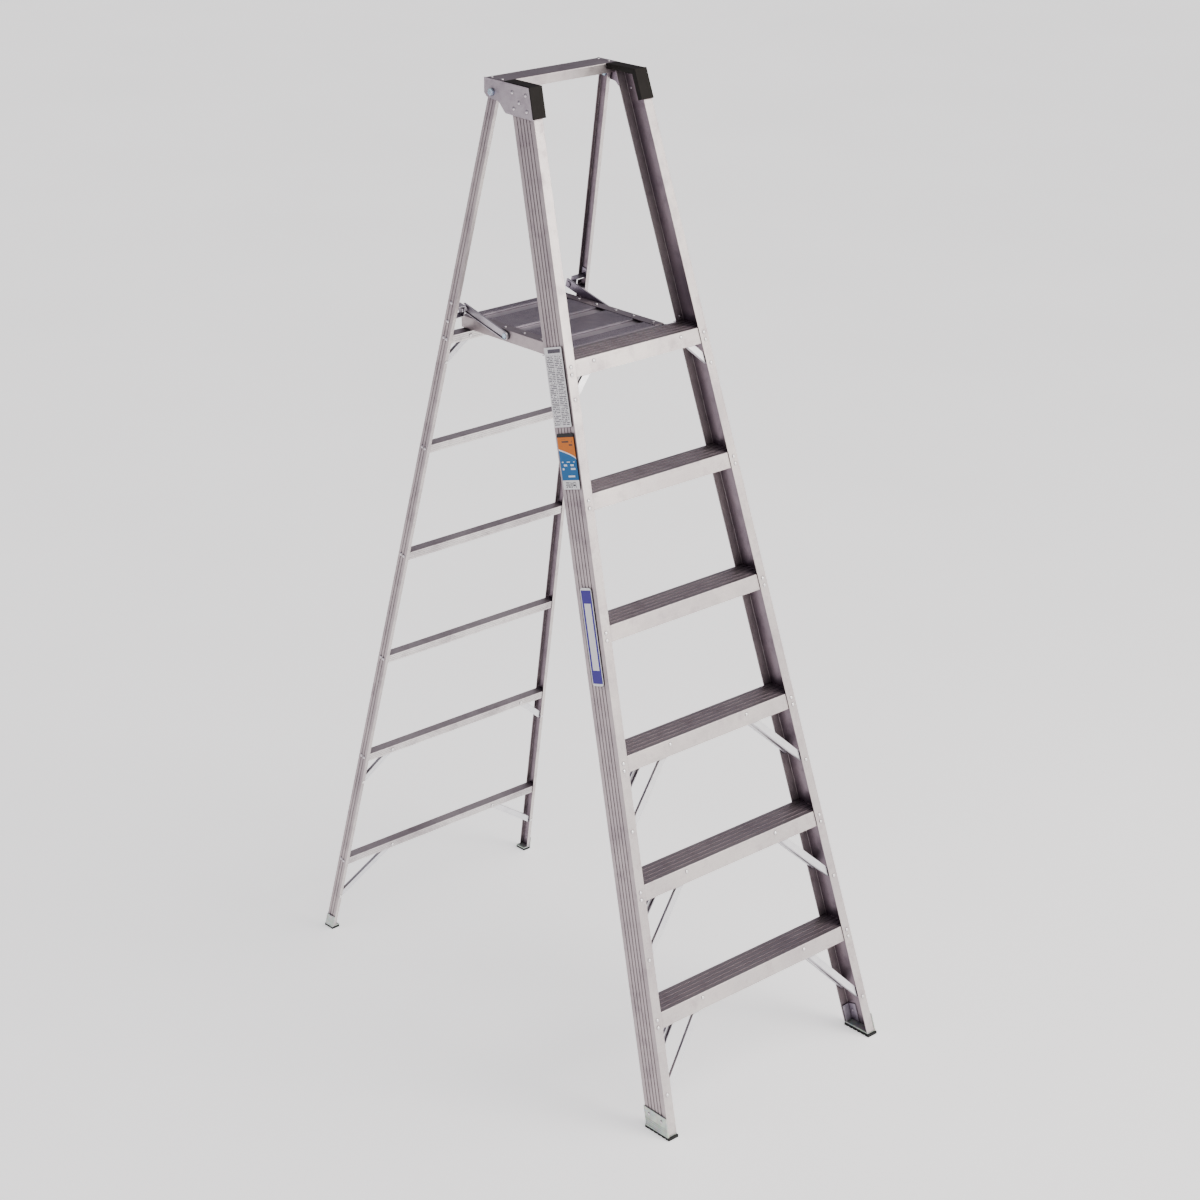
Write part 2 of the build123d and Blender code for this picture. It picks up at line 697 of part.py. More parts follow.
with BuildPart() as front_boot:
    with BuildSketch(WEB):
        with BuildLine():
            Polyline(*on_web_outline([(-boot_over, pad_t), (-boot_over, pad_t + boot_height),
                                      (rail_depth + boot_over, pad_t + boot_height),
                                      (rail_depth + boot_over, pad_t)]), close=True)
        make_face()
    extrude(amount=boot_t)
    with BuildSketch(WEB.offset(boot_t)):
        for z in boot_ridges:
            with BuildLine():
                Polyline(*on_web_outline([(0, z), (0, z + 2), (rail_depth, z + 2), (rail_depth, z)]),
                         close=True)
            make_face()
    extrude(amount=boot_ridge_h)
    with BuildSketch(Plane.XY.offset(pad_t)):
        base_out, base_in = front_width(0) + boot_t, front_width(0) - rail_flange
        base_front = front_yz(-boot_over, v_at(boot_top, -boot_over))[0]
        with Locations(((base_out + base_in) / 2, (base_front + floor_back) / 2)):
            Rectangle(base_out - base_in, floor_back - base_front)
    extrude(amount=boot_t)
    drill(boot_places)
save_pair(front_boot.part, "front_boot")
save_pair(sole(base_in - pad_in_reach, base_out, floor_front, floor_back, pad_t), "front_pad")

with BuildPart() as foot_bracket:
    FOOT = FRONT_RAIL.offset(foot_bracket_v[0])
    far_n = rail_depth - rail_flange_t
    with BuildSketch(FOOT):
        with BuildLine():
            Polyline((foot_bracket_n, rail_web), (far_n - rail_corner_r, rail_web),
                     (far_n - rail_corner_r, rail_flange - 2), (far_n - rail_corner_r - 2, rail_flange - 2),
                     (far_n - rail_corner_r - 2, rail_web + 2), (foot_bracket_n, rail_web + 2), close=True)
        make_face()
    extrude(amount=foot_bracket_v[1] - foot_bracket_v[0])
    split(bisect_by=Plane.XY.offset(boot_top + 2), keep=Keep.TOP)
    drill(boot_places)
save(Compound([foot_bracket.part, foot_bracket.part.mirror(Plane.YZ)]), "foot_brackets")

front_grip = boot_t + rail_web
save(rivet_set([([boot_places[0]], front_grip), ([boot_places[1]], front_grip + 2),
                (gusset_places, gusset_t + rail_web), (top_places, 2 * top_sheet),
                (hinge_places, hinge_ear_t + step_sheet),
                ([rail_angle_place], step_sheet + rail_flange_t)]), "frame_rivets")

# ---- rear rails -----------------------------------------------------------------------------
rear_boot_top = rear_pad_t + shoe_t
shoe_place = on_rear_web(rear_depth / 2, 32.0, shoe_t)
bracket_half = 24.0
bracket_rivet_n = 17.0
bracket_places = [on_rear_web(bracket_rivet_n, link_rear_v + dv) for dv in (-bracket_half, bracket_half)]
tab_n = rear_depth / 2
rung_places = [on_rear_web(tab_n + dn, v + rung_face / 2)
               for v in rung_bottoms for dn in (-rung_rivet_half, rung_rivet_half)]


def rear_brace_ends(row):
    """Rung rivet and rail rivet of a rear brace."""
    rung, u, height, drop = row
    top = (u, rung_bottoms[rung] + height)
    foot_v = top[1] - drop
    return (top, (rear_width(foot_v) - rear_rivet_inset, foot_v))


rear_ends = [rear_brace_ends(row) for row in rear_braces]
rear_foot_places = [place(REAR, *foot) for _, foot in rear_ends]
rear_section = channel_profile(rear_depth, rear_flange, rear_web, rear_flange_t, 1.0,
                               rear_flute_pitch, rear_flute_count)
REAR_RAIL = Plane(origin=REAR_WEB.origin, x_dir=rear_n, z_dir=REAR_WEB.y_dir)
with BuildPart() as rear_rail:
    with BuildSketch(REAR_RAIL.offset(-rear_depth)):
        add(rear_section)
    extrude(amount=(pivot_rear_v + pivot_end) / cos(rear_taper_angle) + rear_depth)
    split(bisect_by=Plane.XY.offset(rear_boot_top), keep=Keep.TOP)
    drill(rung_places + bracket_places + rear_foot_places + [shoe_place])
    with Locations(AT_PIVOT.offset(pivot_x).location):
        Cylinder(pivot_r + pin_clear, 8 * rear_flange, mode=Mode.SUBTRACT)
save_pair(rear_rail.part, "rear_rail")

# ---- rear rungs -----------------------------------------------------------------------------
RUNG_END = REAR_WEB.offset(-rear_web - rung_end_gap)
rung_n = rear_flange_t + rung_rib_h
tab_near = rung_n + rung_sheet / 2
for index, low in enumerate(rung_bottoms):
    high = low + rung_face
    far = rung_n + rung_sheet + rung_flange
    with BuildPart() as rung:
        with BuildSketch(Plane.YZ):
            with BuildLine():
                Polyline(rear_yz(rung_n, low), rear_yz(rung_n, high), rear_yz(far, high),
                         rear_yz(far, high - rung_sheet), rear_yz(rung_n + rung_sheet, high - rung_sheet),
                         rear_yz(rung_n + rung_sheet, low), close=True)
            make_face()
        extrude(amount=rear_half_width)
        with BuildSketch(REAR.offset(-rung_n)):
            with Locations(*[(rear_half_width / 2, low + rung_face * i / 4) for i in (1, 2, 3)]):
                Rectangle(rear_half_width, rung_rib_w)
        extrude(amount=rung_rib_h)
        split(bisect_by=RUNG_END, keep=Keep.BOTTOM)
        with BuildSketch(REAR_WEB.offset(-rear_web)):
            with Locations(((tab_near + far) / 2, (low + high) / 2 / cos(rear_taper_angle))):
                Rectangle(far - tab_near, rung_face)
        extrude(amount=-rung_sheet)
        drill([on_rear_web(tab_n + dn, (low + high) / 2)
               for dn in (-rung_rivet_half, rung_rivet_half)])
        tops = [place(REAR, *ends[0]) for row, ends in zip(rear_braces, rear_ends) if row[0] == index]
        if tops:
            drill(tops)
        mirror(about=Plane.YZ)
    save(rung.part, f"rear_rung_{index + 1}")

strips = [brace(REAR, top, foot, -rung_n - rung_sheet, rung_n + rung_sheet - rear_flange_t, -1,
                RUNG_END)
          for top, foot in rear_ends]
save(Compound(strips + [one.mirror(Plane.YZ) for one in strips]), "rear_braces")

# ---- link brackets, boxed between the rear rails' webs and the links ---------------------------
link_x = side_half_width + link_gap
link_out = link_x + link_flange
crown_x = link_out + 10.0
crown_half = 14.0
hat_half = 34.0
boss_r = 7.0
link_rear_n = rear_depth / 2
link_rear = rear_point(0, link_rear_v, link_rear_n)


def rear_inner(v):
    """Inner face of a rear rail's web."""
    return rear_width(v) - rear_web / cos(rear_taper_angle)


hat_depth = 20.0
hat_seat = rear_depth / 2 + hat_depth / 2
with BuildPart() as link_bracket:
    with BuildSketch(REAR.offset(-hat_seat)):
        low, high = link_rear_v - crown_half, link_rear_v + crown_half
        sheet = link_sheet
        with BuildLine():
            Polyline((rear_inner(link_rear_v - hat_half), link_rear_v - hat_half),
                     (rear_inner(link_rear_v - hat_half) - sheet, link_rear_v - hat_half),
                     (rear_inner(low - sheet) - sheet, low - sheet), (crown_x, low),
                     (crown_x, high), (rear_inner(high + sheet) - sheet, high + sheet),
                     (rear_inner(link_rear_v + hat_half) - sheet, link_rear_v + hat_half),
                     (rear_inner(link_rear_v + hat_half), link_rear_v + hat_half),
                     (rear_inner(high), high), (crown_x + sheet, high - sheet),
                     (crown_x + sheet, low + sheet), (rear_inner(low), low), close=True)
        make_face()
    extrude(amount=hat_depth)
    with BuildSketch(Plane(origin=(link_out + body_gap, link_rear.Y, link_rear.Z), z_dir=(1, 0, 0))):
        Circle(boss_r)
    extrude(amount=crown_x - link_out - body_gap)
    with BuildSketch(Plane(origin=(crown_x + link_sheet, link_rear.Y, link_rear.Z), z_dir=(1, 0, 0))):
        RegularPolygon(boss_r + 1, 6)
    extrude(amount=5)
    drill(bracket_places)
save_pair(link_bracket.part, "link_bracket")

# ---- rear feet ------------------------------------------------------------------------------
rear_over = 0.5
rear_base_in = rear_width(0) - rear_flange - 11.0
rear_base_out = rear_width(0) + shoe_t
rear_front_y = rear_yz(0, 0)[0] - rear_pad_reach
rear_back_y = spread / 2
with BuildPart() as rear_shoe:
    with BuildSketch(REAR_WEB) as plate:
        with BuildLine():
            corners = [(-rear_over, rear_pad_t), (-rear_over, rear_pad_t + shoe_height),
                       (rear_depth + rear_over, rear_pad_t + shoe_height),
                       (rear_depth + rear_over, rear_pad_t)]
            Polyline(*[(n, (z - n * sin(rear_lean)) / cos(rear_lean) / cos(rear_taper_angle))
                       for n, z in corners], close=True)
        make_face()
    extrude(amount=shoe_t)
    with BuildSketch(Plane.XY.offset(rear_pad_t)):
        with Locations(((rear_base_in + rear_base_out) / 2, (rear_front_y + rear_back_y) / 2)):
            Rectangle(rear_base_out - rear_base_in, rear_back_y - rear_front_y - 1)
    extrude(amount=shoe_t)
    drill([shoe_place])
save_pair(rear_shoe.part, "rear_shoe")
save_pair(sole(rear_base_in, rear_base_out, rear_front_y, rear_back_y, rear_pad_t), "rear_pad")

rear_heads = [place(REAR, *top, -rear_flange_t) for top, _ in rear_ends]
save(rivet_set([(rung_places, rear_web + rung_sheet), (bracket_places, rear_web + link_sheet),
                ([shoe_place], shoe_t + rear_web), (rear_heads, rung_rib_h + rung_sheet + brace_sheet),
                (rear_foot_places, rung_n + rung_sheet + brace_sheet)]), "rear_rivets")

# ---- platform -------------------------------------------------------------------------------
hinge_yz = front_yz(hinge_n, hinge_v)
deck_front = hinge_yz[0] - deck_front_gap
deck_back = deck_front + deck_depth
link_front = (hinge_yz[0] + link_back, deck_height - link_drop)
board_centres = [deck_front + board_first + board_pitch * i for i in range(2)]
boards = [(deck_front, deck_front + front_board)]
boards += [(c - board_width / 2, c + board_width / 2) for c in board_centres]
boards += [(deck_back - rear_board, deck_back)]
deck_rivet_y = [deck_front + front_board * front_rivet_share, deck_back - rear_board / 2]
deck_rivet_y += [c + d for c in board_centres for d in (-deck_rivet_half, deck_rivet_half)]
deck_places = [Location((deck_rivet_x, y, deck_height)) for y in deck_rivet_y]
LINK_FRONT = Plane(origin=(0, *link_front), x_dir=(0, 1, 0), z_dir=(1, 0, 0))
with BuildPart() as side_channel:
    with BuildSketch(Plane.XZ.offset(-deck_front)):
        inner = side_half_width - side_sheet
        with BuildLine():
            low = deck_height - side_height
            Polyline((side_half_width, deck_height), (side_half_width, low),
                     (side_half_width - side_lower_flange, low),
                     (side_half_width - side_lower_flange, low + side_sheet), (inner, low + side_sheet),
                     (inner, deck_height - side_sheet),
                     (side_half_width - side_flange, deck_height - side_sheet),
                     (side_half_width - side_flange, deck_height), close=True)
        make_face()
    extrude(amount=-deck_depth - deck_end)
    fillet(side_channel.edges().filter_by(Axis.Y).group_by(Axis.X)[-1], side_edge_r)
    drill(deck_places)
    with Locations(HINGE.offset(side_half_width).location):
        Cylinder(hinge_pin_r + pin_clear, 4 * side_sheet, mode=Mode.SUBTRACT)
    with Locations(LINK_FRONT.offset(side_half_width).location):
        Cylinder(link_pin_r + hole_clear, 4 * side_sheet, mode=Mode.SUBTRACT)
save_pair(side_channel.part, "side_channel")

under_flange = deck_height - side_sheet
rib_end = side_half_width - side_flange - body_gap
leg_end = side_inner - board_end_gap
for index, (y0, y1) in enumerate(boards):
    count = int((y1 - y0) / board_rib_pitch)
    pitch = (y1 - y0) / count
    with BuildPart() as board:
        with BuildSketch(Plane.XY.offset(under_flange)):
            with Locations((0, (y0 + y1) / 2)):
                Rectangle(2 * side_inner, y1 - y0)
        extrude(amount=-board_sheet)
        with BuildSketch(Plane.XY.offset(under_flange)):
            with Locations(*[(0, y0 + pitch * (i + 0.5)) for i in range(count)]):
                Rectangle(2 * rib_end, board_rib_w)
        extrude(amount=board_rib_h)
        with BuildSketch(Plane.XY.offset(under_flange)):
            with Locations((0, y0 + side_sheet / 2), (0, y1 - side_sheet / 2)):
                Rectangle(2 * leg_end, side_sheet)
        extrude(amount=-board_sheet - board_leg)
        spots = [spot for spot in deck_places if y0 < spot.position.Y < y1]
        drill(spots)
        drill([Location((-spot.position.X, spot.position.Y, spot.position.Z)) for spot in spots])
    save(board.part, f"deck_board_{index + 1}")

strips = []
for (_, y0), (y1, _) in zip(boards[:-1], boards[1:]):
    with BuildPart() as strip:
        with BuildSketch(Plane.XY.offset(under_flange - strip_drop)):
            with Locations((0, (y0 + y1) / 2)):
                Rectangle(2 * leg_end, y1 - y0)
        extrude(amount=-board_sheet)
    strips.append(strip.part)
save(Compound(strips), "deck_strips")
save(rivet_set([(deck_places, side_sheet + board_sheet)]), "deck_rivets")

# ---- links between the platform and the rear section -------------------------------------------
span = Vector(0, link_rear.Y - link_front[0], link_rear.Z - link_front[1])
LINK = Plane(origin=(0, *link_front), x_dir=span, z_dir=(1, 0, 0))
link_length = span.length
link_tail = 10.0
stud_r = 4.0
with BuildPart() as link:
    with BuildSketch(LINK.offset(link_x)):
        Circle(link_height / 2)
        with Locations(((link_length + link_tail) / 2, 0)):
            Rectangle(link_length + link_tail, link_height)
    extrude(amount=link_flange)
    with BuildSketch(LINK.offset(link_x + link_sheet)):
        Circle(link_height / 2 - link_sheet)
        with Locations(((link_length + 2 * link_tail) / 2, 0)):
            Rectangle(link_length + 2 * link_tail, link_height - 2 * link_sheet)
    extrude(amount=link_flange, mode=Mode.SUBTRACT)
    with Locations(LINK.offset(link_x).location):
        Cylinder(link_pin_r + pin_clear, 8 * link_sheet, mode=Mode.SUBTRACT)
    with BuildSketch(LINK.offset(link_x - rivet_head_h)):
        with Locations((link_length, 0)):
            RegularPolygon(boss_r, 6)
    extrude(amount=rivet_head_h)
    with BuildSketch(LINK.offset(link_x + link_sheet)):
        with Locations((link_length, 0)):
            Circle(stud_r)
    extrude(amount=link_flange - link_sheet)
save_pair(link.part, "link")

pin_washer = link_gap - body_gap
with BuildPart() as link_pin:
    with BuildSketch(LINK_FRONT.offset(side_inner - pin_head_h * 2)):
        RegularPolygon(pin_head_r, 6)
    extrude(amount=pin_head_h * 2)
    with BuildSketch(LINK_FRONT.offset(side_inner)):
        Circle(link_pin_r)
    extrude(amount=side_sheet + link_gap + link_sheet + body_gap)
    with BuildSketch(LINK_FRONT.offset(side_half_width)):
        Circle(pin_head_r)
    extrude(amount=pin_washer)
    with BuildSketch(LINK_FRONT.offset(link_x + link_sheet + body_gap)):
        RegularPolygon(pin_head_r + 0.5, 6)
    extrude(amount=pin_head_h)
save(Compound([link_pin.part, link_pin.part.mirror(Plane.YZ)]), "link_pins")
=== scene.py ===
import math
import bpy
import numpy as np
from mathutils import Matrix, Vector


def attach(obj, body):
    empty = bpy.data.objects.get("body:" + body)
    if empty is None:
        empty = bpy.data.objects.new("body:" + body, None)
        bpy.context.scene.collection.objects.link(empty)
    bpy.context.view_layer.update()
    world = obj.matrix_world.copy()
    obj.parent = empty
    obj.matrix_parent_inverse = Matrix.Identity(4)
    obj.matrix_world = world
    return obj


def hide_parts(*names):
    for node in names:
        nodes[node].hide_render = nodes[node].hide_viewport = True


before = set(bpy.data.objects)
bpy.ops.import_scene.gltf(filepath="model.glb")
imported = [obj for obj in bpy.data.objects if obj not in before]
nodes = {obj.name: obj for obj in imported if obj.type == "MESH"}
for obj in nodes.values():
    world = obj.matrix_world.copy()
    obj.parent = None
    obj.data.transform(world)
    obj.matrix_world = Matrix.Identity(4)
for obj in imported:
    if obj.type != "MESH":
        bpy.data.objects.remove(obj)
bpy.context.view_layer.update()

# ---- Studio ---------------------------------------------------------------------------------
# A pale floor that carries on past the view, one broad warm key light in front of the steps, a
# cooler fill on the rail side, and a soft sky that the bare metal mirrors.
eye = Vector((-3.9907, -4.4735, 3.5446))
turn, tilt = math.radians(-41.56), math.radians(90 - 21.76)
camera_data = bpy.data.cameras.new("camera")
camera_data.lens = 79.64
camera_data.sensor_width = 36
camera_data.shift_x = 0.0146
camera_data.shift_y = -0.0293
camera_data.clip_end = 60
camera = bpy.data.objects.new("camera", camera_data)
camera.location = eye
camera.rotation_euler = (tilt, 0, turn)
bpy.context.collection.objects.link(camera)
bpy.context.scene.camera = camera


def area_light(name, place, aim, size, power, colour):
    """A square soft light pointed at a place on the ladder."""
    data = bpy.data.lights.new(name, "AREA")
    data.shape = "SQUARE"
    data.size = size
    data.energy = power
    data.color = colour
    lamp = bpy.data.objects.new(name, data)
    lamp.location = place
    lamp.rotation_euler = (Vector(aim) - Vector(place)).to_track_quat("-Z", "Y").to_euler()
    bpy.context.collection.objects.link(lamp)


area_light("key", (2.4, -5.4, 3.4), (0, 0, 1.1), 2.8, 230, (1.0, 0.945, 0.895))
area_light("fill", (-5.2, 1.6, 3.2), (0, 0, 1.2), 3.4, 45, (0.86, 0.84, 1.0))
sun_data = bpy.data.lights.new("overcast", "SUN")
sun_data.energy = 1.9
sun_data.angle = math.radians(70)
sun_data.color = (1.0, 0.98, 0.97)
sun = bpy.data.objects.new("overcast", sun_data)
sun.rotation_euler = (math.radians(42), 0, math.radians(24))
bpy.context.collection.objects.link(sun)

# The sky is bright beyond the steps' side and a dull mauve behind the ladder, so that flat faces
# turned different ways differ as bare metal does.
world = bpy.data.worlds.new("sky")
bpy.context.scene.world = world
world.use_nodes = True
sky = world.node_tree
sky.nodes.clear()
sky_out = sky.nodes.new("ShaderNodeOutputWorld")
sky_glow = sky.nodes.new("ShaderNodeBackground")
sky_ramp = sky.nodes.new("ShaderNodeValToRGB")
sky_dot = sky.nodes.new("ShaderNodeVectorMath")
sky_dot.operation = "DOT_PRODUCT"
sky_dot.inputs[1].default_value = (0.55, -0.75, 0.36)
sky_dir = sky.nodes.new("ShaderNodeTexCoord")
sky_span = sky.nodes.new("ShaderNodeMapRange")
sky_span.inputs["From Min"].default_value = -1
sky.links.new(sky_dir.outputs["Generated"], sky_dot.inputs[0])
sky.links.new(sky_dot.outputs["Value"], sky_span.inputs["Value"])
sky.links.new(sky_span.outputs["Result"], sky_ramp.inputs["Fac"])
sky.links.new(sky_ramp.outputs["Color"], sky_glow.inputs["Color"])
sky.links.new(sky_glow.outputs[0], sky_out.inputs["Surface"])
sky_ramp.color_ramp.elements[0].position = 0.20
sky_ramp.color_ramp.elements[0].color = (0.16, 0.13, 0.18, 1)
sky_ramp.color_ramp.elements[1].position = 0.85
sky_ramp.color_ramp.elements[1].color = (1.0, 0.97, 0.94, 1)
middle = sky_ramp.color_ramp.elements.new(0.55)
middle.color = (0.45, 0.43, 0.49, 1)
sky_glow.inputs["Strength"].default_value = 0.75


def new_material(name):
    """An empty node material with its shader and output."""
    material = bpy.data.materials.new(name)
    material.use_nodes = True
    tree = material.node_tree
    tree.nodes.clear()
    out = tree.nodes.new("ShaderNodeOutputMaterial")
    shader = tree.nodes.new("ShaderNodeBsdfPrincipled")
    tree.links.new(shader.outputs[0], out.inputs["Surface"])
    return material, tree, shader


def noise(tree, vector, scale, detail, roughness=0.55):
    """A noise texture's value on a vector."""
    node = tree.nodes.new("ShaderNodeTexNoise")
    node.inputs["Scale"].default_value = scale
    node.inputs["Detail"].default_value = detail
    node.inputs["Roughness"].default_value = roughness
    tree.links.new(vector, node.inputs["Vector"])
    return node.outputs["Fac"]


def ramp(tree, value, stops):
    """A colour ramp with (place, colour) stops."""
    node = tree.nodes.new("ShaderNodeValToRGB")
    elements = node.color_ramp.elements
    elements[0].position, elements[0].color = stops[0][0], (*stops[0][1], 1)
    elements[1].position, elements[1].color = stops[-1][0], (*stops[-1][1], 1)
    for place, colour in stops[1:-1]:
        elements.new(place).color = (*colour, 1)
    tree.links.new(value, node.inputs["Fac"])
    return node.outputs["Color"]


def span(tree, value, low, high, to_low, to_high):
    """A value carried from one range to another."""
    node = tree.nodes.new("ShaderNodeMapRange")
    for key, number in (("From Min", low), ("From Max", high), ("To Min", to_low), ("To Max", to_high)):
        node.inputs[key].default_value = number
    tree.links.new(value, node.inputs["Value"])
    return node.outputs["Result"]


def math_node(tree, operation, first, second=0.0):
    """One arithmetic step on sockets or numbers."""
    node = tree.nodes.new("ShaderNodeMath")
    node.operation = operation
    for socket, value in zip(node.inputs, (first, second)):
        if isinstance(value, (int, float)):
            socket.default_value = value
        else:
            tree.links.new(value, socket)
    return node.outputs[0]


def mix(tree, factor, first, second, blend="MIX"):
    """Two colours mixed by a factor, which may be a number or a socket."""
    node = tree.nodes.new("ShaderNodeMix")
    node.data_type = "RGBA"
    node.blend_type = blend
    for socket, value in ((node.inputs[0], factor), (node.inputs[6], first), (node.inputs[7], second)):
        if isinstance(value, (int, float)):
            socket.default_value = value
        elif isinstance(value, tuple):
            socket.default_value = (*value, 1)
        else:
            tree.links.new(value, socket)
    return node.outputs[2]


def bump(tree, shader, height, strength, distance):
    """Relief on a shader, over edges that are softened a little."""
    edge = tree.nodes.new("ShaderNodeBevel")
    edge.samples = 4
    edge.inputs["Radius"].default_value = 0.0005
    node = tree.nodes.new("ShaderNodeBump")
    node.inputs["Strength"].default_value = strength
    node.inputs["Distance"].default_value = distance
    tree.links.new(height, node.inputs["Height"])
    tree.links.new(edge.outputs[0], node.inputs["Normal"])
    tree.links.new(node.outputs[0], shader.inputs["Normal"])


floor_material, tree, shader = new_material("floor")
coords = tree.nodes.new("ShaderNodeTexCoord").outputs["Object"]
tone = ramp(tree, noise(tree, coords, 0.8, 3), [(0.3, (0.91, 0.905, 0.905)), (0.7, (0.94, 0.935, 0.935))])
tree.links.new(tone, shader.inputs["Base Color"])
tree.links.new(tone, shader.inputs["Emission Color"])
shader.inputs["Emission Strength"].default_value = 0.75
shader.inputs["Roughness"].default_value = 0.75
floor_mesh = bpy.data.meshes.new("floor")
reach = 22
floor_mesh.from_pydata([(-reach, -reach, 0), (reach, -reach, 0), (reach, reach, 0), (-reach, reach, 0)],
                       [], [(0, 1, 2, 3)])
floor_mesh.materials.append(floor_material)
floor = bpy.data.objects.new("floor", floor_mesh)
bpy.context.collection.objects.link(floor)

# ---- Rails, steps and rungs -------------------------------------------------------------------
# Bare extruded and folded aluminium, never painted: faint die lines along each length, a fine
# grain, cloudy handling stains and a slight mauve oxide in the duller patches.
PALE, MID, DULL = (0.64, 0.595, 0.575), (0.50, 0.46, 0.465), (0.28, 0.235, 0.27)


def along_of(node):
    """Unit vector along a long node, from its vertices."""
    mesh = nodes[node].data
    points = np.empty(len(mesh.vertices) * 3)
    mesh.vertices.foreach_get("co", points)
    points = points.reshape(-1, 3)
    _, _, axes = np.linalg.svd(points - points.mean(0), full_matrices=False)
    axis = Vector(axes[0])
    return axis if axis.z >= 0 else -axis


def bare_metal(name, along, pale=PALE, mid=MID, dull=DULL, low=0.30, high=0.50, stain=0.5,
               inner=0.85, outer=0.75, top=0.9):
    """Aluminium with die lines along a direction; inner, outer and top set how strongly painted shade darkens
    the faces so turned.
    """
    material, tree, shader = new_material(name)
    coords = tree.nodes.new("ShaderNodeTexCoord").outputs["Object"]
    turned = tree.nodes.new("ShaderNodeMapping")
    turned.vector_type = "POINT"
    turned.inputs["Rotation"].default_value = Vector(along).rotation_difference(Vector((0, 0, 1))).to_euler()
    tree.links.new(coords, turned.inputs["Vector"])
    drawn = tree.nodes.new("ShaderNodeMapping")
    drawn.inputs["Scale"].default_value = (900, 900, 7)
    tree.links.new(turned.outputs[0], drawn.inputs["Vector"])
    lines = noise(tree, drawn.outputs[0], 1.0, 3)
    grain = noise(tree, coords, 900, 3, 0.7)
    cloud = noise(tree, turned.outputs[0], 5.0, 5, 0.6)
    patch = noise(tree, coords, 26.0, 4, 0.65)
    base = ramp(tree, cloud, [(0.30, mid), (0.62, pale)])
    stains = ramp(tree, patch, [(0.50, (0, 0, 0)), (0.78, (stain, stain, stain))])
    base = mix(tree, stains, base, dull)
    base = mix(tree, 0.30, base, ramp(tree, lines, [(0.3, dull), (0.7, pale)]), "SOFT_LIGHT")
    base = mix(tree, 0.30, base, ramp(tree, grain, [(0.35, (0.25,) * 3), (0.65, (0.85,) * 3)]), "OVERLAY")

    # Painted shade: faces turned to the middle, faces turned outward and treads facing up are darkened by
    # their normals, against the brighter front faces.
    normal = tree.nodes.new("ShaderNodeSeparateXYZ")
    tree.links.new(tree.nodes.new("ShaderNodeTexCoord").outputs["Normal"], normal.inputs[0])
    place = tree.nodes.new("ShaderNodeSeparateXYZ")
    tree.links.new(coords, place.inputs[0])
    turn_in = math_node(tree, "MULTIPLY", math_node(tree, "SIGN", place.outputs["X"]), normal.outputs["X"])
    base = mix(tree, span(tree, turn_in, -0.5, -0.95, 0, inner), base, (0.30, 0.235, 0.31), "MULTIPLY")
    base = mix(tree, span(tree, turn_in, 0.5, 0.95, 0, outer), base, (0.60, 0.54, 0.58), "MULTIPLY")
    base = mix(tree, span(tree, normal.outputs["Z"], 0.7, 0.97, 0, top), base, (0.44, 0.40, 0.45), "MULTIPLY")
    # Painted shade in hollows and channel insides, from ambient occlusion over three centimetres.
    near = tree.nodes.new("ShaderNodeAmbientOcclusion")
    near.samples = 6
    near.inputs["Distance"].default_value = 0.03
    hollow_shade = span(tree, near.outputs["AO"], 0.35, 0.95, 0.75, 0)
    base = mix(tree, hollow_shade, base, (0.20, 0.15, 0.20), "MULTIPLY")
    # Painted shade in the flutes and grooves, from ambient occlusion over three millimetres.
    groove = tree.nodes.new("ShaderNodeAmbientOcclusion")
    groove.samples = 6
    groove.inputs["Distance"].default_value = 0.003
    shade = span(tree, groove.outputs["AO"], 0.45, 0.93, 0.9, 0)
    base = mix(tree, shade, base, (0.22, 0.17, 0.22), "MULTIPLY")
    tree.links.new(base, shader.inputs["Base Color"])
    shader.inputs["Metallic"].default_value = 0.82
    rough = span(tree, patch, 0.3, 0.75, low, high)
    tree.links.new(rough, shader.inputs["Roughness"])
    both = mix(tree, 0.5, ramp(tree, lines, [(0, (0, 0, 0)), (1, (1, 1, 1))]),
               ramp(tree, grain, [(0, (0, 0, 0)), (1, (1, 1, 1))]))
    bump(tree, shader, both, 0.25, 0.00025)
    return material


def dress(material, *names):
    """Give CAD nodes their finish."""
    for name in names:
        mesh = nodes[name].data
        mesh.materials.clear()
        mesh.materials.append(material)


for side in ("left", "right"):
    dress(bare_metal(f"front_rail_metal_{side}", along_of(f"front_rail_{side}")), f"front_rail_{side}")
    dress(bare_metal(f"rear_rail_metal_{side}", along_of(f"rear_rail_{side}")), f"rear_rail_{side}")
crosswise = bare_metal("crosswise_metal", (1, 0, 0))
steps = [name for name in nodes if name.startswith("step_") and name[5:].isdigit()]
dress(crosswise, "platform_step", "top_channel", *steps)
dress(bare_metal("rung_metal", (1, 0, 0), pale=(0.82, 0.785, 0.765)),
      *[name for name in nodes if name.startswith("rear_rung_")])

# ---- Platform ---------------------------------------------------------------------------------
# Side channels and ribbed boards in the same bare aluminium. The boards are given darker, cooler colours
# as painted shade between their ribs; the smooth strips between them stay bright.
dress(bare_metal("side_metal", (0, 1, 0)), "side_channel_left", "side_channel_right")
dress(bare_metal("board_metal", (1, 0, 0), (0.60, 0.58, 0.62), (0.47, 0.45, 0.50), (0.30, 0.27, 0.32),
                 0.34, 0.55),
      *[name for name in nodes if name.startswith("deck_board_")])
dress(bare_metal("strip_metal", (1, 0, 0), (0.88, 0.86, 0.84), (0.78, 0.76, 0.76), stain=0.2), "deck_strips")

